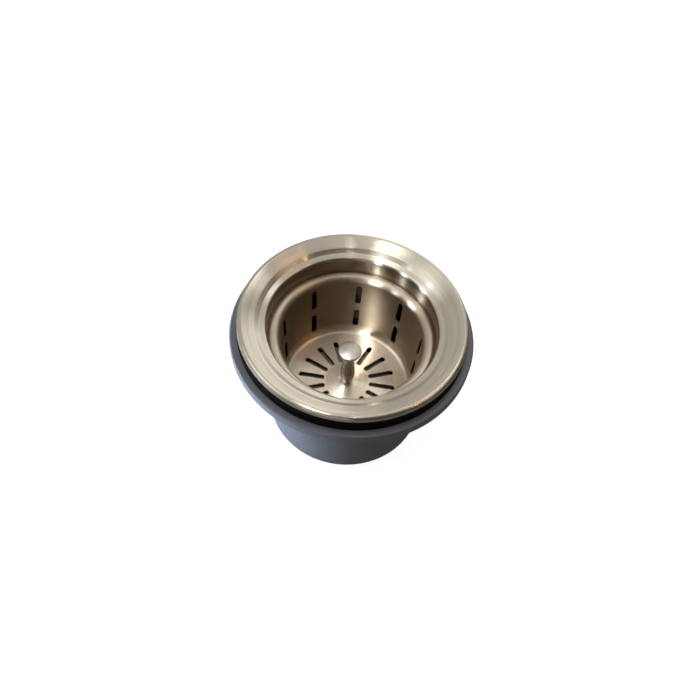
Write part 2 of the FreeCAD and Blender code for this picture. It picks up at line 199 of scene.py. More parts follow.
def moulded_plastic(name, tone, deep_tone):
    """Injection-moulded plastic with a fine spark-eroded grain and faint flow marks."""
    finish, tree, shader = new_finish(name)
    flow = speckle(tree, 38, 3)
    grain = speckle(tree, 1500, 2)
    tree.links.new(two_tone(tree, flow, deep_tone, tone), shader.inputs["Base Color"])
    tree.links.new(spread(tree, grain, 0.36, 0.50), shader.inputs["Roughness"])
    relief(tree, shader, grain, 0.18, 0.00008)
    shader.inputs["Specular IOR Level"].default_value = PLASTIC_SPECULAR
    return finish


def dress(piece, finish, body, slot, *nodes):
    """Gives a finished piece its material, its body and the CAD nodes it stands for; the slot argument is not
    used.
    """
    piece.data.materials.clear()
    piece.data.materials.append(finish)
    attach(piece, body)
    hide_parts(*nodes)


cup_low, cup_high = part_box("drain_cup")
rim_r = cup_high.x
z_rim_top = cup_high.z
z_rim_under = z_rim_top - RIM_PLATE
z_skirt = z_rim_top - RIM_H
z_cup_under = cup_low.z
z_cup_floor = z_cup_under + CUP_WALL
cup_shell = turned("cup_moulding", rounded([
    (SPOUT_BORE_R, z_cup_under, 0),
    (CUP_FOOT_IN_R + CUP_WALL, z_cup_under, CUP_FOOT_BEND),
    (CUP_TOP_IN_R + CUP_WALL, z_rim_under, CUP_CORNER_BEND),
    (rim_r - RIM_SKIRT, z_rim_under, MOULD_EDGE),
    (rim_r - RIM_SKIRT, z_skirt, MOULD_EDGE),
    (rim_r, z_skirt, MOULD_EDGE),
    (rim_r, z_rim_top, RIM_EDGE_BEND),
    (CUP_TOP_IN_R, z_rim_top, MOULD_EDGE),
    (CUP_FOOT_IN_R, z_cup_floor, CUP_CORNER_BEND),
    (SPOUT_BORE_R, z_cup_floor, 0),
]))
cup_plastic = moulded_plastic("cup_plastic", CUP_GREY, CUP_GREY_DEEP)
dress(cup_shell, cup_plastic, "cup", "cup_plastic", "drain_cup")


# Outlet spout: the tube that is welded under the cup's floor and takes the trap's coupling nut.
# It is moulded in the same plastic, with an external pipe thread and a plain collar above it, and
# inside it four spider arms hold the boss for the clamp bolt.
THREAD_PITCH = 0.002309
THREAD_DEPTH = 0.00148
THREAD_START = 0.0030
THREAD_TURNS = 8
COLLAR_H = 0.0052
SPOUT_LEAD = 0.0005
BOSS_R = 0.0085
BOSS_BELOW_CUP = 0.0125
BOLT_WAY_R = 0.0044
SPIDER_ARMS = 4
SPIDER_TURN = math.radians(45)
SPIDER_ARM_T = 0.0024
SPIDER_H = 0.0100
WELD_BITE = 0.0003
RIDGE_ROOT_SHARE = 0.46
RIDGE_CREST_SHARE = 0.10
RIDGE_STEPS = 64
SMALL_TURN_STEPS = 96
PIN_TURN_STEPS = 64


def act_on(piece):
    """Selects one piece alone and makes it the active object."""
    bpy.ops.object.select_all(action="DESELECT")
    bpy.context.view_layer.objects.active = piece
    piece.select_set(True)


def combine(piece, tool, operation):
    """Joins a tool to a piece or cuts it out, as a Boolean that is applied, and removes the tool."""
    act_on(piece)
    boolean = piece.modifiers.new("combine", "BOOLEAN")
    boolean.operation = operation
    boolean.object = tool
    bpy.ops.object.modifier_apply(modifier="combine")
    bpy.data.objects.remove(tool)
    bpy.ops.object.mode_set(mode="EDIT")
    return close_up(piece)


def thread_ridge(crest_r, depth, pitch, bottom, turns):
    """One closed helical ridge, to be joined to a plain shank that it bites into."""
    root_r = crest_r - depth - WELD_BITE
    half_root = pitch * RIDGE_ROOT_SHARE
    half_crest = pitch * RIDGE_CREST_SHARE
    profile = [(root_r, bottom - half_root), (crest_r, bottom - half_crest),
               (crest_r, bottom + half_crest), (root_r, bottom + half_root)]
    ridge = trace("thread_ridge", profile, closed=True)
    bpy.ops.mesh.select_all(action="SELECT")
    bpy.ops.mesh.remove_doubles(threshold=MERGE_DISTANCE)
    bpy.ops.object.mode_set(mode="OBJECT")
    screw = ridge.modifiers.new("screw", "SCREW")
    screw.screw_offset = pitch
    screw.iterations = turns
    screw.steps = RIDGE_STEPS
    screw.render_steps = RIDGE_STEPS
    bpy.ops.object.modifier_apply(modifier="screw")
    bpy.ops.object.mode_set(mode="EDIT")
    bpy.ops.mesh.select_all(action="SELECT")
    bpy.ops.mesh.fill_holes(sides=len(profile))
    return close_up(ridge)


def block(size, centre):
    """A box of the given size about a centre, as a tool for combine."""
    bpy.ops.object.select_all(action="DESELECT")
    bpy.ops.mesh.primitive_cube_add(size=1, location=centre)
    tool = bpy.context.object
    tool.scale = size
    bpy.ops.object.transform_apply(location=True, rotation=False, scale=True)
    return tool


def ring_of(tool, count, first):
    """Copies of a tool at equal steps about Z, the first turned by an angle, joined as one tool."""
    copies = []
    for i in range(count):
        copy = tool.copy()
        copy.data = tool.data.copy()
        copy.data.transform(Matrix.Rotation(first + i * math.tau / count, 4, "Z"))
        bpy.context.collection.objects.link(copy)
        copies.append(copy)
    bpy.data.objects.remove(tool)
    act_on(copies[0])
    for copy in copies:
        copy.select_set(True)
    bpy.ops.object.join()
    return copies[0]


spout_low, spout_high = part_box("outlet_spout")
spout_r = spout_high.x
z_spout_end = spout_low.z
spout_root_r = spout_r - THREAD_DEPTH
z_collar = z_cup_under - COLLAR_H
spout = turned("threaded_spout", rounded([
    (SPOUT_BORE_R, z_spout_end, MOULD_EDGE),
    (spout_root_r, z_spout_end, SPOUT_LEAD),
    (spout_root_r, z_collar, MOULD_EDGE),
    (spout_r, z_collar, MOULD_EDGE),
    (spout_r, z_cup_under, 0),
    (SPOUT_BORE_R, z_cup_under, 0),
]))
spout_thread = thread_ridge(spout_r, THREAD_DEPTH, THREAD_PITCH, z_spout_end + THREAD_START, THREAD_TURNS)
combine(spout, spout_thread, "UNION")
z_boss = z_cup_under - BOSS_BELOW_CUP
arm_reach = SPOUT_BORE_R + WELD_BITE
arm = block((arm_reach, SPIDER_ARM_T, SPIDER_H), (arm_reach / 2, 0, z_cup_under - SPIDER_H / 2))
spider = turned("boss", rounded([
    (0, z_boss, 0),
    (BOSS_R, z_boss, MOULD_EDGE),
    (BOSS_R, z_cup_floor, MOULD_EDGE),
    (0, z_cup_floor, 0),
]), SMALL_TURN_STEPS)
combine(spider, ring_of(arm, SPIDER_ARMS, SPIDER_TURN), "UNION")
bolt_way = turned("bolt_way", [(0, z_boss - RIM_H), (BOLT_WAY_R, z_boss - RIM_H),
                               (BOLT_WAY_R, z_cup_floor + RIM_H), (0, z_cup_floor + RIM_H)],
                  PIN_TURN_STEPS)
combine(spider, bolt_way, "DIFFERENCE")
combine(spout, spider, "UNION")
dress(spout, cup_plastic, "cup", "cup_plastic", "outlet_spout")


# Thread insert: a turned brass sleeve that is moulded into the spout's boss and takes the clamp bolt.
# It keeps its CAD shape and gets a dull brass with turning marks.
BRASS = (0.62, 0.42, 0.16, 1)
BRASS_DULL = (0.47, 0.31, 0.12, 1)
MARK_RELIEF = 0.15
ACROSS_THE_GRAIN = 0.25


def turning_marks(tree, across, along):
    """Noise drawn out round the Z axis: fine steps across the marks, long runs along them."""
    place = put(tree, "ShaderNodeTexCoord")
    flat = put(tree, "ShaderNodeVectorMath", {1: (1, 1, 0)}, operation="MULTIPLY")
    radius = put(tree, "ShaderNodeVectorMath", operation="LENGTH")
    bearing = put(tree, "ShaderNodeVectorMath", operation="NORMALIZE")
    scaled = put(tree, "ShaderNodeVectorMath", {"Scale": along}, operation="SCALE")
    parts = put(tree, "ShaderNodeSeparateXYZ")
    height = put(tree, "ShaderNodeMath", {1: across}, operation="MULTIPLY")
    round_parts = put(tree, "ShaderNodeSeparateXYZ")
    joined = put(tree, "ShaderNodeCombineXYZ")
    depth = put(tree, "ShaderNodeMath", {1: across}, operation="MULTIPLY")
    noise = put(tree, "ShaderNodeTexNoise", {"Scale": 1, "Detail": 3, "Roughness": 0.6},
                noise_dimensions="4D")
    link = tree.links.new
    link(place.outputs["Object"], flat.inputs[0])
    link(flat.outputs["Vector"], radius.inputs[0])
    link(flat.outputs["Vector"], bearing.inputs[0])
    link(bearing.outputs["Vector"], scaled.inputs[0])
    link(scaled.outputs["Vector"], round_parts.inputs["Vector"])
    link(place.outputs["Object"], parts.inputs["Vector"])
    link(parts.outputs["Z"], height.inputs[0])
    link(round_parts.outputs["X"], joined.inputs["X"])
    link(round_parts.outputs["Y"], joined.inputs["Y"])
    link(height.outputs["Value"], joined.inputs["Z"])
    link(radius.outputs["Value"], depth.inputs[0])
    link(joined.outputs["Vector"], noise.inputs["Vector"])
    link(depth.outputs["Value"], noise.inputs["W"])
    return noise.outputs["Fac"]


def round_the_axis(tree, shader, anisotropy):
    """Sets the shader's grain to run in circles about Z, so that its highlights spread across the grain."""
    place = put(tree, "ShaderNodeTexCoord")
    axis = put(tree, "ShaderNodeVectorMath", {0: (0, 0, 1)}, operation="CROSS_PRODUCT")
    tree.links.new(place.outputs["Object"], axis.inputs[1])
    tree.links.new(axis.outputs["Vector"], shader.inputs["Tangent"])
    shader.inputs["Anisotropic"].default_value = anisotropy
    shader.inputs["Anisotropic Rotation"].default_value = ACROSS_THE_GRAIN


def turned_metal(name, tone, deep_tone, smooth, rough, anisotropy, mark_size, mark_depth):
    """Metal that was turned, spun or brushed in circles, with marks of the given size in metres."""
    finish, tree, shader = new_finish(name)
    marks = turning_marks(tree, 1 / mark_size, 1.4)
    bands = turning_marks(tree, 0.15 / mark_size, 0.9)
    tree.links.new(two_tone(tree, bands, deep_tone, tone), shader.inputs["Base Color"])
    tree.links.new(spread(tree, marks, smooth, rough), shader.inputs["Roughness"])
    relief(tree, shader, marks, MARK_RELIEF, mark_depth)
    shader.inputs["Metallic"].default_value = 1
    round_the_axis(tree, shader, anisotropy)
    return finish


def dress_node(name, finish):
    """Gives a CAD node that keeps its shape a better material."""
    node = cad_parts[name]
    for slot in node.material_slots:
        slot.material = finish


insert_brass = turned_metal("insert_brass", BRASS, BRASS_DULL, smooth=0.28, rough=0.42, anisotropy=0.3,
                            mark_size=0.0003, mark_depth=0.00002)
dress_node("thread_insert", insert_brass)


# Lower gasket: the black rubber ring that lies on the cup's rim and presses on the sink from below.
# It is moulded flat, with a small chamfer and a dull skin.
GASKET_BORE_R = 0.0450
GASKET_EDGE = 0.0005
RUBBER_BLACK = (0.0016, 0.0017, 0.0021, 1)
RUBBER_DUSTY = (0.0045, 0.0047, 0.0054, 1)
RUBBER_SPECULAR = 0.04


def moulded_rubber(name):
    """Black rubber with a fine moulded skin and a little dust."""
    finish, tree, shader = new_finish(name)
    dust = speckle(tree, 160, 4)
    skin = speckle(tree, 2600, 2)
    tree.links.new(two_tone(tree, dust, RUBBER_BLACK, RUBBER_DUSTY, 0.45, 0.75), shader.inputs["Base Color"])
    tree.links.new(spread(tree, skin, 0.48, 0.64), shader.inputs["Roughness"])
    relief(tree, shader, skin, 0.2, 0.00005)
    shader.inputs["Specular IOR Level"].default_value = RUBBER_SPECULAR
    return finish


lower_low, lower_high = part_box("lower_gasket")
gasket_r = lower_high.x
z_joint = lower_high.z
lower_ring = turned("deck_ring_below", rounded([
    (GASKET_BORE_R, lower_low.z, GASKET_EDGE),
    (gasket_r, lower_low.z, GASKET_EDGE),
    (gasket_r, z_joint, GASKET_EDGE),
    (GASKET_BORE_R, z_joint, GASKET_EDGE),
]))
gasket_rubber = moulded_rubber("gasket_rubber")
dress(lower_ring, gasket_rubber, "cup", "gasket_rubber", "lower_gasket")


# Flange and bowl: one blank of stainless sheet, drawn to a bowl with a well, a seat for the basket and
# a flange with a step and a dished ring. It is brushed in circles, and the well is pierced for water.
FLANGE_SHEET = 0.0008
FLANGE_RISE = 0.0037
FLANGE_EDGE_BEND = 0.0020
RING_IN_R = 0.0484
LEDGE_R = 0.0462
STEP_DROP = 0.0016
STEP_BEND = 0.0006
LEDGE_FALL = 0.0010
THROAT_TOP_R = 0.0428
THROAT_BEND = 0.0016
THROAT_R = 0.0423
SEAT_DEPTH = 0.0128
SEAT_R = 0.0396
SEAT_BEND = 0.0010
BOWL_FOOT_R = 0.0384
BOWL_FOOT_BEND = 0.0060
WELL_R = 0.0200
WELL_DEPTH = 0.0094
WELL_BEND = 0.0015
WELL_HOLES = 8
WELL_HOLE_R = 0.0030
WELL_HOLE_CIRCLE_R = 0.0146
WELL_HOLE_STEPS = 32
UPPER_GASKET_T = 0.0035
FLANGE_STEEL = (0.560, 0.520, 0.450, 1)
FLANGE_STEEL_DEEP = (0.480, 0.442, 0.378, 1)
# Painted shade: darker tones for the throat below the ledge and the bowl below the seat, which lie in shade.
THROAT_PAINTED_SHADE = (0.30, 0.24, 0.185, 1)
BOWL_PAINTED_SHADE = (0.10, 0.085, 0.065, 1)
PAINTED_SHADE_FADE = 0.0015


def beside(path, distance):
    """The line beside a path of (radius, height, bend) corners, on its left, with its bends concentric."""
    moved = []
    last = len(path) - 1
    for i, (r, z, bend) in enumerate(path):
        before = heading(path[max(i - 1, 0)], path[max(i, 1)])
        after = heading(path[min(i, last - 1)], path[min(i + 1, last)])
        turn = before[0] * after[1] - before[1] * after[0]
        half = 1 + before[0] * after[0] + before[1] * after[1]
        new_bend = max(bend - distance if turn > 0 else bend + distance, 0) if bend else 0
        r_step = -(before[1] + after[1]) / half * distance
        z_step = (before[0] + after[0]) / half * distance
        moved.append((r + r_step, z + z_step, new_bend))
    return moved


def painted_shade_between(finish, low, high, fade, tone):
    """Mixes a painted shade tone into a metal's colour between two heights, darkening surfaces that lie in
    shade.
    """
    tree = finish.node_tree
    shader = tree.nodes["Principled BSDF"]
    place = put(tree, "ShaderNodeTexCoord")
    parts = put(tree, "ShaderNodeSeparateXYZ")
    both = put(tree, "ShaderNodeMath", operation="MULTIPLY")
    # The mix node lays the painted shade tone over the metal's own colour.
    skin = put(tree, "ShaderNodeMix", {"B": tone}, data_type="RGBA")
    tree.links.new(place.outputs["Object"], parts.inputs["Vector"])
    tree.links.new(spread(tree, parts.outputs["Z"], 0, 1, low, low + fade), both.inputs[0])
    tree.links.new(spread(tree, parts.outputs["Z"], 1, 0, high - fade, high), both.inputs[1])
    tree.links.new(both.outputs["Value"], skin.inputs["Factor"])
    tree.links.new(shader.inputs["Base Color"].links[0].from_socket, skin.inputs["A"])
    tree.links.new(skin.outputs["Result"], shader.inputs["Base Color"])


def sheet_outline(path, sheet):
    """Closed half outline of drawn sheet: the path is its upper face, and the sheet lies on its left."""
    return rounded(path + beside(path, sheet)[::-1])


flange_low, flange_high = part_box("flange_bowl")
flange_r = flange_high.x
z_flange = z_joint + UPPER_GASKET_T
z_ledge = z_flange - STEP_DROP
z_seat = z_flange - SEAT_DEPTH
z_well = flange_low.z + FLANGE_SHEET
z_bowl_floor = z_well + WELL_DEPTH
flange_path = [
    (flange_r, z_flange, 0),
    (flange_r, z_flange + FLANGE_RISE, FLANGE_EDGE_BEND),
    (RING_IN_R, z_flange, STEP_BEND),
    (LEDGE_R, z_ledge, STEP_BEND),
    (THROAT_TOP_R, z_ledge - LEDGE_FALL, THROAT_BEND),
    (THROAT_R, z_seat, SEAT_BEND),
    (SEAT_R, z_seat, SEAT_BEND),
    (BOWL_FOOT_R, z_bowl_floor, BOWL_FOOT_BEND),
    (WELL_R, z_bowl_floor, WELL_BEND),
    (WELL_R, z_well, WELL_BEND),
    (BOLT_WAY_R, z_well, 0),
]
flange = turned("drawn_flange", sheet_outline(flange_path, FLANGE_SHEET))
well_hole = turned("well_hole", [(0, -FLANGE_RISE), (WELL_HOLE_R, -FLANGE_RISE),
                                 (WELL_HOLE_R, FLANGE_RISE), (0, FLANGE_RISE)], WELL_HOLE_STEPS)
well_hole.data.transform(Matrix.Translation((WELL_HOLE_CIRCLE_R, 0, z_well)))
combine(flange, ring_of(well_hole, WELL_HOLES, math.pi / WELL_HOLES), "DIFFERENCE")
flange_steel = turned_metal("flange_steel", FLANGE_STEEL, FLANGE_STEEL_DEEP, smooth=0.20, rough=0.26,
                            anisotropy=1.0, mark_size=0.00028, mark_depth=0.000008)
# Painted shade: the throat and the bowl are darkened in colour, where they lie in shade and reflect little
# light.
painted_shade_between(flange_steel, z_seat, z_ledge - LEDGE_FALL, PAINTED_SHADE_FADE, THROAT_PAINTED_SHADE)
painted_shade_between(flange_steel, flange_low.z - FLANGE_RISE, z_seat, PAINTED_SHADE_FADE, BOWL_PAINTED_SHADE)
dress(flange, flange_steel, "flange", "flange_steel", "flange_bowl")


# Upper gasket: the thick black ring that fills the underside of the flange and presses on the sink.
# It is moulded to the flange's shape, a little proud of its edge, and stays with the flange.
GASKET_EASE = 0.0001
upper_path = beside(flange_path, FLANGE_SHEET + GASKET_EASE)
lip, step, ledge, throat = upper_path[1:5]
fall = (ledge[1] - throat[1]) / (ledge[0] - throat[0])
upper_ring = turned("deck_ring_above", rounded([
    (GASKET_BORE_R, z_joint, GASKET_EDGE),
    (gasket_r, z_joint, GASKET_EDGE),
    (gasket_r, z_flange - GASKET_EASE, 0),
    (lip[0], z_flange - GASKET_EASE, 0),
    lip,
    step,
    ledge,
    (GASKET_BORE_R, ledge[1] - fall * (ledge[0] - GASKET_BORE_R), 0),
]))
dress(upper_ring, gasket_rubber, "flange", "gasket_rubber", "upper_gasket")


# Bolt seal and washer: a rubber washer with a steel one on it, under the clamp bolt's head.
# Both keep their CAD shape, and get the gasket's rubber and a plain zinc-grey steel.
FASTENER_STEEL = (0.55, 0.54, 0.52, 1)
FASTENER_STEEL_DEEP = (0.44, 0.43, 0.41, 1)
fastener_steel = turned_metal("fastener_steel", FASTENER_STEEL, FASTENER_STEEL_DEEP, smooth=0.22, rough=0.36,
                              anisotropy=0.4, mark_size=0.0003, mark_depth=0.00002)
dress_node("bolt_seal", gasket_rubber)
dress_node("bolt_washer", fastener_steel)


# Clamp bolt: the wide slotted bolt in the bowl's well that draws the cup up against the sink.
# It is turned steel, with a chamfered head, a driver slot and a coarse machine thread.
BOLT_HEAD_H = 0.0024
BOLT_HEAD_EDGE = 0.0007
BOLT_SLOT_W = 0.0018
BOLT_SLOT_DEPTH = 0.0013
BOLT_PITCH = 0.00125
BOLT_LEAD = 1.2 * BOLT_PITCH
BOLT_THREAD_DEPTH = 0.00070
BOLT_PLAIN_SHANK = 0.0080
BOLT_R = 0.0040
bolt_low, bolt_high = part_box("clamp_bolt")
z_bolt_seat = bolt_high.z - BOLT_HEAD_H
bolt_core_r = BOLT_R - BOLT_THREAD_DEPTH
z_thread_top = z_bolt_seat - BOLT_PLAIN_SHANK
bolt = turned("clamp_screw", rounded([
    (0, bolt_low.z, 0),
    (bolt_core_r, bolt_low.z, BOLT_HEAD_EDGE),
    (bolt_core_r, z_thread_top, 0),
    (BOLT_R, z_thread_top + BOLT_THREAD_DEPTH, 0),
    (BOLT_R, z_bolt_seat, 0),
    (bolt_high.x, z_bolt_seat, MOULD_EDGE),
    (bolt_high.x, bolt_high.z, BOLT_HEAD_EDGE),
    (0, bolt_high.z, 0),
]), SMALL_TURN_STEPS)
bolt_turns = int((z_thread_top - bolt_low.z - 2 * BOLT_PITCH) / BOLT_PITCH)
bolt_thread = thread_ridge(BOLT_R, BOLT_THREAD_DEPTH, BOLT_PITCH, bolt_low.z + BOLT_LEAD, bolt_turns)
combine(bolt, bolt_thread, "UNION")
bolt_slot = block((4 * BOLT_R + BOLT_HEAD_H, BOLT_SLOT_W, 2 * BOLT_SLOT_DEPTH), (0, 0, bolt_high.z))
combine(bolt, bolt_slot, "DIFFERENCE")
dress(bolt, fastener_steel, "bolt", "fastener_steel", "clamp_bolt")


# Strainer basket: one blank of thinner stainless sheet, drawn to a cup with a rolled lip that sits on
# the bowl's seat. The wall has nine columns of two slots, the floor sixteen slots round a low cone.
BASKET_SHEET = 0.0007
LIP_H = 0.0015
LIP_OUTER_BEND = 0.0013
LIP_INNER_BEND = 0.0034
BASKET_WALL_R = 0.0365
BASKET_FOOT_R = 0.0350
BASKET_FOOT_BEND = 0.0028
BASKET_DEPTH = 0.04395
CONE_R = 0.0118
CONE_TOP_R = 0.0048
CONE_H = 0.0012
CONE_BEND = 0.0050
SCREW_HOLE_R = 0.0022
FLOOR_SLOTS = 16
FLOOR_SLOT_W = 0.0028
FLOOR_SLOT_IN_R = 0.0124
FLOOR_SLOT_OUT_R = 0.0271
FLOOR_SLOT_TURN = math.radians(19.56)
WALL_COLUMNS = 9
WALL_ROWS = 2
WALL_SLOT_W = 0.0032
WALL_SLOT_LENGTH = 0.0146
WALL_SLOT_TOP = 0.0052
WALL_SLOT_PITCH = 0.0195
WALL_COLUMN_TURN = math.radians(8)
SLOT_END_STEPS = 10
BASKET_STEEL = (0.780, 0.700, 0.590, 1)
BASKET_STEEL_DEEP = (0.700, 0.620, 0.510, 1)
# Painted shade: a darker tone for the basket's wall and lip, which lie in shade inside the basket.
BASKET_WALL_PAINTED_SHADE = (0.27, 0.214, 0.158, 1)
BASKET_WALL_FADE = 0.0060
PAINTED_SHADE_PAST_LIP = 0.0028
SLOT_ROUND_SHARE = 0.499


def slot_punch(length, width, depth):
    """A round-ended slot along X, as a tool for combine: a box with its upright edges bevelled round."""
    punch = block((length, width, depth), (0, 0, 0))
    act_on(punch)
    bpy.ops.object.mode_set(mode="EDIT")
    bpy.ops.mesh.select_all(action="DESELECT")
    bpy.ops.object.mode_set(mode="OBJECT")
    for edge in punch.data.edges:
        first, second = (punch.data.vertices[i].co for i in edge.vertices)
        edge.select = abs(first.z - second.z) > depth / 2
    bpy.ops.object.mode_set(mode="EDIT")
    bpy.ops.mesh.select_mode(type="EDGE")
    bpy.ops.mesh.bevel(offset=width * SLOT_ROUND_SHARE, segments=SLOT_END_STEPS, affect="EDGES")
    bpy.ops.mesh.select_mode(type="VERT")
    bpy.ops.object.mode_set(mode="OBJECT")
    return punch


basket_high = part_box("strainer_basket")[1]
lip_r = basket_high.x
z_lip_top = basket_high.z
z_floor = z_lip_top - BASKET_DEPTH
z_cone = z_floor + CONE_H
basket = turned("drawn_basket", sheet_outline([
    (lip_r, z_lip_top - LIP_H, 0),
    (lip_r, z_lip_top, LIP_OUTER_BEND),
    (BASKET_WALL_R, z_lip_top, LIP_INNER_BEND),
    (BASKET_FOOT_R, z_floor, BASKET_FOOT_BEND),
    (CONE_R, z_floor, CONE_BEND),
    (CONE_TOP_R, z_cone, CONE_BEND),
    (SCREW_HOLE_R, z_cone, 0),
], BASKET_SHEET))
floor_punch = slot_punch(FLOOR_SLOT_OUT_R - FLOOR_SLOT_IN_R, FLOOR_SLOT_W, 4 * BASKET_SHEET)
floor_punch.data.transform(Matrix.Translation(((FLOOR_SLOT_OUT_R + FLOOR_SLOT_IN_R) / 2, 0, z_floor)))
combine(basket, ring_of(floor_punch, FLOOR_SLOTS, FLOOR_SLOT_TURN), "DIFFERENCE")
for row in range(WALL_ROWS):
    z_slot = z_lip_top - WALL_SLOT_TOP - WALL_SLOT_LENGTH / 2 - row * WALL_SLOT_PITCH
    wall_punch = slot_punch(WALL_SLOT_LENGTH, WALL_SLOT_W, WALL_SLOT_LENGTH)
    wall_punch.data.transform(Matrix.Rotation(math.pi / 2, 4, "Y"))
    wall_punch.data.transform(Matrix.Translation((BASKET_WALL_R, 0, z_slot)))
    combine(basket, ring_of(wall_punch, WALL_COLUMNS, WALL_COLUMN_TURN), "DIFFERENCE")
basket_steel = turned_metal("basket_steel", BASKET_STEEL, BASKET_STEEL_DEEP, smooth=0.31, rough=0.38,
                            anisotropy=0.90, mark_size=0.00030, mark_depth=0.000008)
# Painted shade: the wall, from just above the floor to past the lip, is darkened in colour where the deep
# basket lies in shade.
painted_shade_between(basket_steel, z_floor + BASKET_SHEET, z_lip_top + PAINTED_SHADE_PAST_LIP, BASKET_WALL_FADE,
             BASKET_WALL_PAINTED_SHADE)
dress(basket, basket_steel, "basket", "basket_steel", "strainer_basket")


# Lift stem: the turned and polished post that stands on the basket's cone.
# It swells to a belly above its foot, draws in to a neck and carries the knob on a spigot.
STEM_BASE_R = 0.0032
STEM_BELLY_R = 0.0040
STEM_BELLY_H = 0.0070
STEM_NECK_R = 0.00285
STEM_NECK_H = 0.0070
STEM_SPIGOT_R = 0.0018
STEM_SPIGOT_H = 0.0013
STEM_HOLE_R = 0.00205
STEM_HOLE_DEPTH = 0.0100
STEM_STEPS = 14
# Painted reflection: the stem's steel tone is darkened to stand in for the dark surroundings that the polished
# stem reflects.
STEM_STEEL = (0.27, 0.24, 0.21, 1)
STEM_STEEL_DEEP = (0.23, 0.20, 0.17, 1)


def swept(start, finish, steps):
    """Points of a smooth S from one (radius, height) to another, upright at both ends."""
    points = []
    for k in range(steps + 1):
        share = k / steps
        ease = (1 - math.cos(math.pi * share)) / 2
        points.append((start[0] + (finish[0] - start[0]) * ease, start[1] + (finish[1] - start[1]) * share))
    return points


stem_low, stem_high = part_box("lift_stem")
z_stem_foot = stem_low.z
z_spigot = stem_high.z - STEM_SPIGOT_H
z_belly = z_stem_foot + STEM_BELLY_H
z_hole = z_stem_foot + STEM_HOLE_DEPTH
stem = turned("turned_stem", [(0, z_hole), (STEM_HOLE_R, z_hole), (STEM_HOLE_R, z_stem_foot)]
              + swept((STEM_BASE_R, z_stem_foot), (STEM_BELLY_R, z_belly), STEM_STEPS)
              + swept((STEM_BELLY_R, z_belly), (STEM_NECK_R, z_spigot - STEM_NECK_H), STEM_STEPS)[1:]
              + [(STEM_NECK_R, z_spigot), (STEM_SPIGOT_R, z_spigot), (STEM_SPIGOT_R, stem_high.z),
                 (0, stem_high.z)], SMALL_TURN_STEPS)
stem_steel = turned_metal("stem_steel", STEM_STEEL, STEM_STEEL_DEEP, smooth=0.07, rough=0.11, anisotropy=0.3,
                          mark_size=0.00025, mark_depth=0.000003)
dress(stem, stem_steel, "basket", "stem_steel", "lift_stem")


# Knob: the low domed cap that is pressed on the stem's spigot, for lifting the basket by hand.
# It is turned stainless with a satin face and broken edges.
KNOB_EDGE = 0.0004
KNOB_DOME = 0.0010
KNOB_DOME_STEPS = 10
KNOB_SOCKET_R = 0.00183
KNOB_SOCKET_DEPTH = 0.0015
KNOB_STEEL = (0.48, 0.46, 0.42, 1)
KNOB_STEEL_DEEP = (0.43, 0.41, 0.37, 1)
knob_low, knob_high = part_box("knob_cap")
knob_r = knob_high.x
z_socket = knob_low.z + KNOB_SOCKET_DEPTH
ball_r = (knob_r ** 2 + KNOB_DOME ** 2) / (2 * KNOB_DOME)
z_ball = knob_high.z - ball_r
crown = []
for k in range(1, KNOB_DOME_STEPS + 1):
    crown_r = knob_r * (1 - k / KNOB_DOME_STEPS)
    crown.append((crown_r, z_ball + math.sqrt(ball_r ** 2 - crown_r ** 2), 0))
knob = turned("domed_knob", rounded([
    (0, z_socket, 0),
    (KNOB_SOCKET_R, z_socket, 0),
    (KNOB_SOCKET_R, knob_low.z, 0),
    (knob_r, knob_low.z, KNOB_EDGE),
    (knob_r, knob_high.z - KNOB_DOME, KNOB_EDGE),
] + crown), SMALL_TURN_STEPS)
knob_steel = turned_metal("knob_steel", KNOB_STEEL, KNOB_STEEL_DEEP, smooth=0.34, rough=0.42, anisotropy=0.2,
                          mark_size=0.00030, mark_depth=0.000008)
dress(knob, knob_steel, "basket", "knob_steel", "knob_cap")


# Stopper: nylon spacer, steel backing plate, rubber plug, washer and screw, clamped under the basket's floor.
# The plate shows through the floor slots, and the plug's lip sits over the bowl's well.
PLATE_EDGE = 0.0002
PLATE_STEEL = (0.32, 0.29, 0.25, 1)
PLATE_STEEL_DEEP = (0.27, 0.24, 0.205, 1)
NYLON = (0.62, 0.60, 0.55, 1)
NYLON_DEEP = (0.55, 0.53, 0.48, 1)
RUBBER_EDGE_T = 0.0014
RUBBER_LIP_BEND = 0.0005
PLUG_R = 0.0188
PLUG_DROP = 0.0014
SCREW_R = 0.0020
SCREW_HEAD_H = 0.0016
SCREW_HEAD_EDGE = 0.0005
SCREW_SLOT_W = 0.0010
SCREW_SLOT_DEPTH = 0.0007
SCREW_PITCH = 0.0007
SCREW_THREAD_DEPTH = 0.00040
SCREW_PLAIN_SHANK = 0.0100

dress_node("stopper_spacer", moulded_plastic("spacer_plastic", NYLON, NYLON_DEEP))

plate_low, plate_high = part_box("stopper_plate")
plate = turned("backing_plate", rounded([
    (SCREW_HOLE_R, plate_low.z, 0),
    (plate_high.x, plate_low.z, PLATE_EDGE),
    (plate_high.x, plate_high.z, PLATE_EDGE),
    (SCREW_HOLE_R, plate_high.z, 0),
]))
plate_steel = turned_metal("plate_steel", PLATE_STEEL, PLATE_STEEL_DEEP, smooth=0.55, rough=0.66,
                           anisotropy=0.0, mark_size=0.00030, mark_depth=0.000012)
dress(plate, plate_steel, "basket", "plate_steel", "stopper_plate")

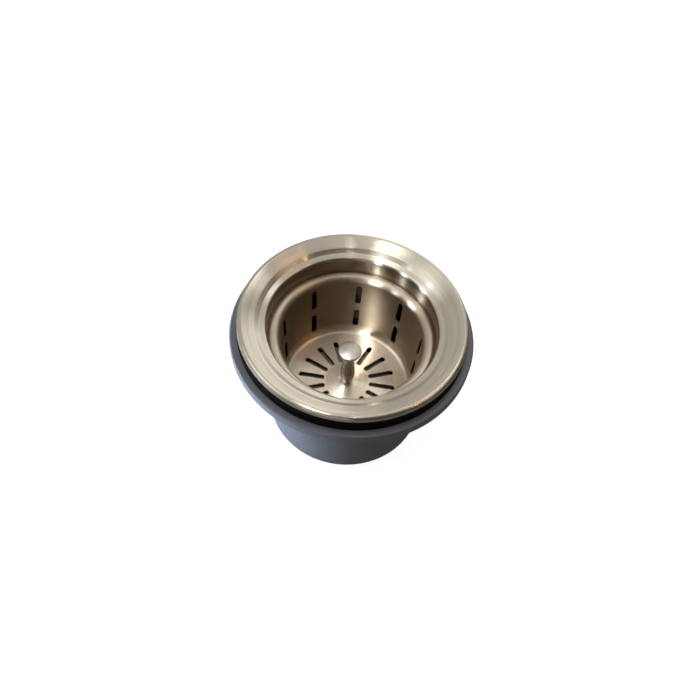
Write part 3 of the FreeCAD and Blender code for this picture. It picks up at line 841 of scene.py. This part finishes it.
rubber_low, rubber_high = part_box("stopper_rubber")
z_rubber_lip = rubber_low.z + PLUG_DROP
plug = turned("rubber_plug", rounded([
    (SCREW_HOLE_R, rubber_low.z, 0),
    (PLUG_R - PLUG_DROP, rubber_low.z, RUBBER_LIP_BEND),
    (PLUG_R, z_rubber_lip, RUBBER_LIP_BEND),
    (rubber_high.x, z_rubber_lip, RUBBER_LIP_BEND),
    (rubber_high.x, z_rubber_lip + RUBBER_EDGE_T, RUBBER_LIP_BEND),
    (plate_high.x, rubber_high.z, 0),
    (SCREW_HOLE_R, rubber_high.z, 0),
]))
dress(plug, gasket_rubber, "basket", "gasket_rubber", "stopper_rubber")

dress_node("stopper_washer", fastener_steel)

screw_low, screw_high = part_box("stopper_screw")
z_screw_seat = screw_low.z + SCREW_HEAD_H
z_screw_thread = z_screw_seat + SCREW_PLAIN_SHANK
screw_core_r = SCREW_R - SCREW_THREAD_DEPTH
screw = turned("stopper_bolt", rounded([
    (0, screw_low.z, 0),
    (screw_high.x, screw_low.z, SCREW_HEAD_EDGE),
    (screw_high.x, z_screw_seat, 0),
    (SCREW_R, z_screw_seat, 0),
    (SCREW_R, z_screw_thread - SCREW_THREAD_DEPTH, 0),
    (screw_core_r, z_screw_thread, 0),
    (screw_core_r, screw_high.z, SCREW_HEAD_EDGE),
    (0, screw_high.z, 0),
]), PIN_TURN_STEPS)
screw_turns = int((screw_high.z - z_screw_thread) / SCREW_PITCH) - 2
screw_thread = thread_ridge(SCREW_R, SCREW_THREAD_DEPTH, SCREW_PITCH, z_screw_thread + SCREW_PITCH, screw_turns)
combine(screw, screw_thread, "UNION")
screw_slot = block((4 * SCREW_R + SCREW_HEAD_H, SCREW_SLOT_W, 2 * SCREW_SLOT_DEPTH), (0, 0, screw_low.z))
combine(screw, screw_slot, "DIFFERENCE")
dress(screw, fastener_steel, "basket", "fastener_steel", "stopper_screw")


# Floor and light: a pale floor, soft lights above, beside and in front, a window-like light behind, a low
# fill for the cup, and a room that is dim and warm in front, so that the brushed steel keeps its beige tone.
# Two small bulbs and five narrow beams give the sharp glints on the rim, the throat, the wall and the cone.
FLOOR_SIZE = 6.0
FLOOR_TONE = (0.24, 0.24, 0.24, 1)
FLOOR_TONE_DEEP = (0.22, 0.22, 0.22, 1)
FLOOR_GLOW = 0.90
FLOOR_ROUGHNESS = 0.8
ROOM_BRIGHT = (0.66, 0.64, 0.60, 1)
ROOM_DIM = (0.10, 0.060, 0.040, 1)
ROOM_SHOWN = (0.78, 0.78, 0.77, 1)
ROOM_DIM_SIDE = (0.62, -0.70, -0.35)
ROOM_DIM_FROM = 0.38
ROOM_DIM_TO = 0.53
FLOOR_BEAM_ANGLE = math.radians(3.6)
WALL_BEAM_ANGLE = math.radians(2.4)
THROAT_BEAM_ANGLE = math.radians(1.3)
THROAT_BEAM_TONE = (0.80, 0.93, 1.0)
bpy.ops.object.select_all(action="DESELECT")
bpy.ops.mesh.primitive_plane_add(size=FLOOR_SIZE, location=(0, 0, z_spout_end))
ground = bpy.context.object
ground.name = "ground"
ground_finish, ground_tree, ground_shader = new_finish("ground_white")
ground_tree.links.new(two_tone(ground_tree, speckle(ground_tree, 12, 3), FLOOR_TONE, FLOOR_TONE_DEEP),
                      ground_shader.inputs["Base Color"])
ground_shader.inputs["Roughness"].default_value = FLOOR_ROUGHNESS
ground_path = put(ground_tree, "ShaderNodeLightPath")
ground_glow = spread(ground_tree, ground_path.outputs["Is Camera Ray"], 0, FLOOR_GLOW, 0, 1)
ground_shader.inputs["Emission Color"].default_value = (1, 1, 1, 1)
ground_tree.links.new(ground_glow, ground_shader.inputs["Emission Strength"])
ground.data.materials.append(ground_finish)

room = bpy.data.worlds.new("room")
bpy.context.scene.world = room
room.use_nodes = True
room_tree = room.node_tree
bearing = put(room_tree, "ShaderNodeTexCoord")
side = put(room_tree, "ShaderNodeVectorMath", {1: ROOM_DIM_SIDE}, operation="DOT_PRODUCT")
room_tree.links.new(bearing.outputs["Generated"], side.inputs[0])
room_tree.links.new(two_tone(room_tree, spread(room_tree, side.outputs["Value"], 0, 1, -1, 1),
                             ROOM_BRIGHT, ROOM_DIM, ROOM_DIM_FROM, ROOM_DIM_TO),
                    room_tree.nodes["Background"].inputs["Color"])
room_path = put(room_tree, "ShaderNodeLightPath")
room_shown = put(room_tree, "ShaderNodeBackground", {"Color": ROOM_SHOWN})
room_choice = put(room_tree, "ShaderNodeMixShader")
room_tree.links.new(room_path.outputs["Is Camera Ray"], room_choice.inputs["Fac"])
room_tree.links.new(room_tree.nodes["Background"].outputs["Background"], room_choice.inputs[1])
room_tree.links.new(room_shown.outputs["Background"], room_choice.inputs[2])
room_tree.links.new(room_choice.outputs["Shader"], room_tree.nodes["World Output"].inputs["Surface"])


def place_light(name, lamp, place, aim):
    """Puts a light at a place, turned to another one and out of the camera's sight."""
    light = bpy.data.objects.new(name, lamp)
    light.location = place
    towards = aim - light.location
    light.rotation_euler = towards.to_track_quat("-Z", "Y").to_euler()
    light.visible_camera = False
    bpy.context.scene.collection.objects.link(light)
    return light


middle = (cad_box[0] + cad_box[1]) / 2


def soft_light(name, place, width, height, power, tone):
    """A rectangular soft light of some watts that points at the middle of the strainer."""
    lamp = bpy.data.lights.new(name, "AREA")
    lamp.shape = "RECTANGLE"
    lamp.size = width
    lamp.size_y = height
    lamp.energy = power
    lamp.color = tone
    return place_light(name, lamp, place, middle)


soft_light("ceiling", (0.05, 0.08, 1.20), 0.60, 0.60, 0.45, (1.0, 0.98, 0.95))
soft_light("overhead", (-0.17, 0.00, 1.15), 0.50, 0.16, 1.0, (1.0, 0.98, 0.95))
soft_light("window", (0.33, 1.03, 0.55), 0.75, 0.70, 1.5, (1.0, 0.98, 0.94))
soft_light("left_panel", (-0.62, 0.07, 1.00), 0.50, 0.50, 1.2, (1.0, 0.98, 0.93))
soft_light("right_panel", (0.62, 0.07, 1.00), 0.40, 0.40, 0.6, (1.0, 0.68, 0.42))
soft_light("back_bar", (0.22, 0.62, 1.08), 0.40, 0.12, 0.45, (1.0, 0.98, 0.95))
low_fill = soft_light("low_fill", (-0.36, -0.02, 0.05), 0.30, 0.10, 3.8, (0.80, 0.96, 1.0))
low_fill.visible_glossy = False
soft_light("warm_bulb", (0.53, -0.13, 0.92), 0.03, 0.03, 0.11, (1.0, 0.60, 0.16))
soft_light("top_bulb", (0.09, -0.16, 1.10), 0.03, 0.03, 0.09, (1.0, 0.97, 0.88))
soft_light("front_panel", (-0.25, -0.95, 0.45), 0.80, 0.35, 0.80, (1.0, 0.96, 0.90))


def narrow_beam(name, place, spot, angle, source, power, tone=(1, 1, 1)):
    """A spot light with a soft edge that lights one spot on the strainer from a small round source."""
    lamp = bpy.data.lights.new(name, "SPOT")
    lamp.energy = power
    lamp.spot_size = angle
    lamp.spot_blend = 1.0
    lamp.color = tone
    lamp.shadow_soft_size = source
    return place_light(name, lamp, place, Vector(spot))


narrow_beam("floor_beam", (-0.22, 0.02, 1.15), (-0.003, -0.018, 0.052), FLOOR_BEAM_ANGLE,
            source=0.02, power=14)
narrow_beam("wall_beam", (-0.348, -0.669, 0.682), (0.0085, 0.034, 0.066), WALL_BEAM_ANGLE,
            source=0.012, power=140)
throat_beams = [
    ("throat_beam_1", (-0.263, -0.685, 0.290), (0.0096, 0.0414, 0.0965), 27),
    ("throat_beam_2", (-0.589, -0.441, 0.290), (0.0235, 0.0354, 0.0970), 19),
    ("throat_beam_3", (-0.731, -0.111, 0.290), (0.0336, 0.0260, 0.0965), 34),
]
for name, place, spot, power in throat_beams:
    narrow_beam(name, place, spot, THROAT_BEAM_ANGLE, source=0.003, power=power, tone=THROAT_BEAM_TONE)


# Camera: at the photograph's viewing angle and distance, looking down into the basket from in front,
# with the photograph's slight lean to the side.
CAMERA_PLACE = (-0.00004, -0.20368, 0.36800)
CAMERA_ELEVATION = math.radians(54.918)
CAMERA_ROLL = math.radians(6.434)
CAMERA_LENS = 34.975
CAMERA_SENSOR = 36.0
view = bpy.data.cameras.new("photo_view")
view.lens = CAMERA_LENS
view.sensor_width = CAMERA_SENSOR
camera = bpy.data.objects.new("photo_view", view)
camera.location = CAMERA_PLACE
camera.rotation_mode = "ZYX"
camera.rotation_euler = (math.pi / 2 - CAMERA_ELEVATION, 0, CAMERA_ROLL)
bpy.context.scene.collection.objects.link(camera)
bpy.context.scene.camera = camera
bpy.context.scene.view_settings.view_transform = "Standard"
